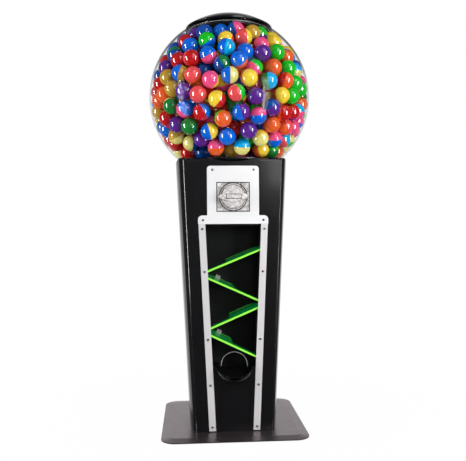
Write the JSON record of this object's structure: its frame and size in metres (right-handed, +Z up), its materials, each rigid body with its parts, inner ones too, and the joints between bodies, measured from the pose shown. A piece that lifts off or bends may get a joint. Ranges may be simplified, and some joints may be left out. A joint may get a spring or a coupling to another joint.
{
  "type": "gumball machine",
  "caption": "Free-standing capsule vendor: clear globe over a tapered cabinet with a coin handle, windowed zig-zag ramps, cup outlet and square base plate.",
  "frame": {"origin": "on the floor, below the middle of the globe", "axes": "+Z up, front with the coin handle towards -Y, +X to the right as seen from the front"},
  "size_m": [0.5587, 0.5586, 1.4219],
  "materials": {
    "gloss_black": "gloss black, moulded and painted",
    "base_black": "gloss black powder coat on steel plate",
    "rubber_black": "matte",
    "zinc_steel": "zinc plated",
    "white_steel": "bright satin",
    "brushed_steel": "brushed along its length",
    "screw_steel": "polished",
    "clear_window": "clear",
    "satin_black": "satin black",
    "neon_green": "fluorescent, translucent with bright edges",
    "clip_grey": "matte",
    "chrome": "polished",
    "cast_zinc": "die cast",
    "brass": "machined",
    "wheel_white": "satin",
    "brush_black": "bristle",
    "clear_globe": "clear, polished",
    "capsule_blue": "gloss, clear upper half",
    "capsule_red": "gloss, clear upper half",
    "capsule_green": "gloss, clear upper half",
    "capsule_yellow": "gloss, clear upper half",
    "capsule_pink": "gloss, clear upper half",
    "capsule_purple": "gloss, clear upper half"
  },
  "bodies": {
    "machine": {"base_plate": "base_black", "base_pads": "rubber_black", "base_bolts": "zinc_steel", "cabinet": "gloss_black", "front_frame": "gloss_black", "front_panel": "gloss_black", "coin_plate": "white_steel", "plate_screws": "screw_steel", "left_strip": "brushed_steel", "right_strip": "brushed_steel", "strip_screws": "screw_steel", "window": "clear_window", "outlet_panel": "satin_black", "outlet_chute": "satin_black", "ramp_housing": "satin_black", "ramp_1": "neon_green", "ramp_2": "neon_green", "ramp_3": "neon_green", "ramp_4": "neon_green", "ramp_clips": "clip_grey", "mech_plate": "chrome", "mech_body": "cast_zinc", "coin_chute": "zinc_steel", "cash_box": "zinc_steel", "cash_shelf": "zinc_steel", "drop_chute": "satin_black", "dispenser_well": "satin_black", "wheel_axle": "zinc_steel", "axle_nut": "zinc_steel", "exit_guard": "satin_black", "exit_brush": "brush_black", "top_deck": "gloss_black", "globe_gasket": "rubber_black", "globe": "clear_globe", "globe_ring": "satin_black", "neck_ring": "gloss_black", "lid_bridge": "brushed_steel", "door_hinge": "zinc_steel", "hinge_pin": "zinc_steel", "capsules_blue": "capsule_blue", "capsules_red": "capsule_red", "capsules_green": "capsule_green", "capsules_yellow": "capsule_yellow", "capsules_pink": "capsule_pink", "capsules_purple": "capsule_purple"},
    "lid": {"lid": "gloss_black", "lid_lock_barrel": "chrome"},
    "lid_lock": {"lid_lock_plug": "chrome", "lid_lock_cam": "chrome"},
    "handle": {"coin_handle": "chrome", "mech_shaft": "chrome", "drive_pinion": "brass"},
    "wheel": {"dispensing_wheel": "wheel_white", "agitator": "zinc_steel"},
    "door": {"rear_door": "gloss_black", "door_lock_barrel": "chrome"},
    "door_lock": {"door_lock_plug": "chrome", "door_lock_cam": "chrome"}
  },
  "joints": [
    {"name": "lid_lift", "type": "slide", "parent": "machine", "child": "lid", "axis": [0, 0, 1], "range_m": [0, 0.12]},
    {"name": "lid_lock_turn", "type": "hinge", "parent": "lid", "child": "lid_lock", "pos_m": [0, 0, 1.4], "axis": [0, 0, 1], "range_deg": [0, 90]},
    {"name": "handle_turn", "type": "hinge", "parent": "machine", "child": "handle", "pos_m": [0, -0.15, 0.7758], "axis": [0, 1, 0], "continuous": true},
    {"name": "wheel_turn", "type": "hinge", "parent": "machine", "child": "wheel", "pos_m": [0, 0, 0.82], "axis": [0, 0, 1], "continuous": true},
    {"name": "door_swing", "type": "hinge", "parent": "machine", "child": "door", "pos_m": [-0.106, 0.1633, 0.5545], "axis": [0, 0, 1], "range_deg": [0, 110]},
    {"name": "door_lock_turn", "type": "hinge", "parent": "door", "child": "door_lock", "pos_m": [0.072, 0.158, 0.5545], "axis": [0, 1, 0], "range_deg": [0, 90]}
  ],
  "couplings": [
    {"joint": "wheel_turn", "follows": "handle_turn", "ratio": 0.16667}
  ]
}
